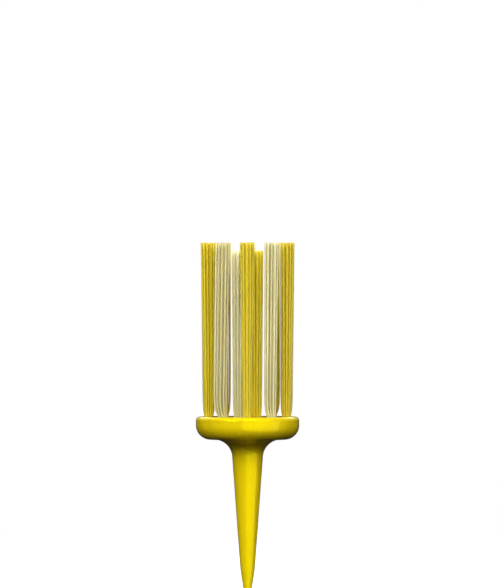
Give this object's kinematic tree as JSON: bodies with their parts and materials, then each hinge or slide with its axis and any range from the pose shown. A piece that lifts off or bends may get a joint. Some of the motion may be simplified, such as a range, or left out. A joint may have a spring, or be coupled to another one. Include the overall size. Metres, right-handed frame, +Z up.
{
  "type": "brush golf tee",
  "caption": "Moulded plastic golf tee with a stake, a turf flange and a brush of upright bristle tufts whose trimmed tips cradle the ball.",
  "frame": {"origin": "on the stake's axis at the flange's underside, which is the turf line when the tee is pushed home", "axes": "+Z up along the stake towards the ball; +X is the swing direction that the bristles bend in; outer tuft 1 stands on -Y"},
  "size_m": [0.0168, 0.0168, 0.06],
  "materials": {
    "body_plastic": "gloss",
    "bristle_yellow": "satin",
    "bristle_cream": "satin",
    "anchor_metal": "satin"
  },
  "bodies": {
    "tee": {"tee_body": "body_plastic", "outer_tuft_root_1": "bristle_yellow", "outer_anchor_1": "anchor_metal", "outer_tuft_root_2": "bristle_cream", "outer_anchor_2": "anchor_metal", "outer_tuft_root_3": "bristle_yellow", "outer_anchor_3": "anchor_metal", "outer_tuft_root_4": "bristle_cream", "outer_anchor_4": "anchor_metal", "outer_tuft_root_5": "bristle_yellow", "outer_anchor_5": "anchor_metal", "outer_tuft_root_6": "bristle_cream", "outer_anchor_6": "anchor_metal", "outer_tuft_root_7": "bristle_yellow", "outer_anchor_7": "anchor_metal", "outer_tuft_root_8": "bristle_cream", "outer_anchor_8": "anchor_metal", "outer_tuft_root_9": "bristle_yellow", "outer_anchor_9": "anchor_metal", "outer_tuft_root_10": "bristle_cream", "outer_anchor_10": "anchor_metal", "inner_tuft_root_1": "bristle_yellow", "inner_anchor_1": "anchor_metal", "inner_tuft_root_2": "bristle_cream", "inner_anchor_2": "anchor_metal", "inner_tuft_root_3": "bristle_yellow", "inner_anchor_3": "anchor_metal", "inner_tuft_root_4": "bristle_cream", "inner_anchor_4": "anchor_metal"},
    "outer_tuft_1": {"outer_tuft_1": "bristle_yellow"},
    "outer_tuft_2": {"outer_tuft_2": "bristle_cream"},
    "outer_tuft_3": {"outer_tuft_3": "bristle_yellow"},
    "outer_tuft_4": {"outer_tuft_4": "bristle_cream"},
    "outer_tuft_5": {"outer_tuft_5": "bristle_yellow"},
    "outer_tuft_6": {"outer_tuft_6": "bristle_cream"},
    "outer_tuft_7": {"outer_tuft_7": "bristle_yellow"},
    "outer_tuft_8": {"outer_tuft_8": "bristle_cream"},
    "outer_tuft_9": {"outer_tuft_9": "bristle_yellow"},
    "outer_tuft_10": {"outer_tuft_10": "bristle_cream"},
    "inner_tuft_1": {"inner_tuft_1": "bristle_yellow"},
    "inner_tuft_2": {"inner_tuft_2": "bristle_cream"},
    "inner_tuft_3": {"inner_tuft_3": "bristle_yellow"},
    "inner_tuft_4": {"inner_tuft_4": "bristle_cream"}
  },
  "joints": [
    {"name": "outer_bend_1", "type": "hinge", "parent": "tee", "child": "outer_tuft_1", "pos_m": [0, -0.0067, 0.00465], "axis": [0, 1, 0], "range_deg": [-30, 30], "stiffness_Nm_per_rad": 0.003},
    {"name": "outer_bend_2", "type": "hinge", "parent": "tee", "child": "outer_tuft_2", "pos_m": [0.00394, -0.00542, 0.00465], "axis": [0, 1, 0], "range_deg": [-30, 30], "stiffness_Nm_per_rad": 0.003},
    {"name": "outer_bend_3", "type": "hinge", "parent": "tee", "child": "outer_tuft_3", "pos_m": [0.00637, -0.00207, 0.00465], "axis": [0, 1, 0], "range_deg": [-30, 30], "stiffness_Nm_per_rad": 0.003},
    {"name": "outer_bend_4", "type": "hinge", "parent": "tee", "child": "outer_tuft_4", "pos_m": [0.00637, 0.00207, 0.00465], "axis": [0, 1, 0], "range_deg": [-30, 30], "stiffness_Nm_per_rad": 0.003},
    {"name": "outer_bend_5", "type": "hinge", "parent": "tee", "child": "outer_tuft_5", "pos_m": [0.00394, 0.00542, 0.00465], "axis": [0, 1, 0], "range_deg": [-30, 30], "stiffness_Nm_per_rad": 0.003},
    {"name": "outer_bend_6", "type": "hinge", "parent": "tee", "child": "outer_tuft_6", "pos_m": [0, 0.0067, 0.00465], "axis": [0, 1, 0], "range_deg": [-30, 30], "stiffness_Nm_per_rad": 0.003},
    {"name": "outer_bend_7", "type": "hinge", "parent": "tee", "child": "outer_tuft_7", "pos_m": [-0.00394, 0.00542, 0.00465], "axis": [0, 1, 0], "range_deg": [-30, 30], "stiffness_Nm_per_rad": 0.003},
    {"name": "outer_bend_8", "type": "hinge", "parent": "tee", "child": "outer_tuft_8", "pos_m": [-0.00637, 0.00207, 0.00465], "axis": [0, 1, 0], "range_deg": [-30, 30], "stiffness_Nm_per_rad": 0.003},
    {"name": "outer_bend_9", "type": "hinge", "parent": "tee", "child": "outer_tuft_9", "pos_m": [-0.00637, -0.00207, 0.00465], "axis": [0, 1, 0], "range_deg": [-30, 30], "stiffness_Nm_per_rad": 0.003},
    {"name": "outer_bend_10", "type": "hinge", "parent": "tee", "child": "outer_tuft_10", "pos_m": [-0.00394, -0.00542, 0.00465], "axis": [0, 1, 0], "range_deg": [-30, 30], "stiffness_Nm_per_rad": 0.003},
    {"name": "inner_bend_1", "type": "hinge", "parent": "tee", "child": "inner_tuft_1", "pos_m": [0.00145, -0.00145, 0.00465], "axis": [0, 1, 0], "range_deg": [-30, 30], "stiffness_Nm_per_rad": 0.003},
    {"name": "inner_bend_2", "type": "hinge", "parent": "tee", "child": "inner_tuft_2", "pos_m": [0.00145, 0.00145, 0.00465], "axis": [0, 1, 0], "range_deg": [-30, 30], "stiffness_Nm_per_rad": 0.003},
    {"name": "inner_bend_3", "type": "hinge", "parent": "tee", "child": "inner_tuft_3", "pos_m": [-0.00145, 0.00145, 0.00465], "axis": [0, 1, 0], "range_deg": [-30, 30], "stiffness_Nm_per_rad": 0.003},
    {"name": "inner_bend_4", "type": "hinge", "parent": "tee", "child": "inner_tuft_4", "pos_m": [-0.00145, -0.00145, 0.00465], "axis": [0, 1, 0], "range_deg": [-30, 30], "stiffness_Nm_per_rad": 0.003}
  ],
  "couplings": [
    {"joint": "outer_bend_2", "follows": "outer_bend_1", "ratio": 1},
    {"joint": "outer_bend_3", "follows": "outer_bend_1", "ratio": 1},
    {"joint": "outer_bend_4", "follows": "outer_bend_1", "ratio": 1},
    {"joint": "outer_bend_5", "follows": "outer_bend_1", "ratio": 1},
    {"joint": "outer_bend_6", "follows": "outer_bend_1", "ratio": 1},
    {"joint": "outer_bend_7", "follows": "outer_bend_1", "ratio": 1},
    {"joint": "outer_bend_8", "follows": "outer_bend_1", "ratio": 1},
    {"joint": "outer_bend_9", "follows": "outer_bend_1", "ratio": 1},
    {"joint": "outer_bend_10", "follows": "outer_bend_1", "ratio": 1},
    {"joint": "inner_bend_1", "follows": "outer_bend_1", "ratio": 1},
    {"joint": "inner_bend_2", "follows": "outer_bend_1", "ratio": 1},
    {"joint": "inner_bend_3", "follows": "outer_bend_1", "ratio": 1},
    {"joint": "inner_bend_4", "follows": "outer_bend_1", "ratio": 1}
  ]
}
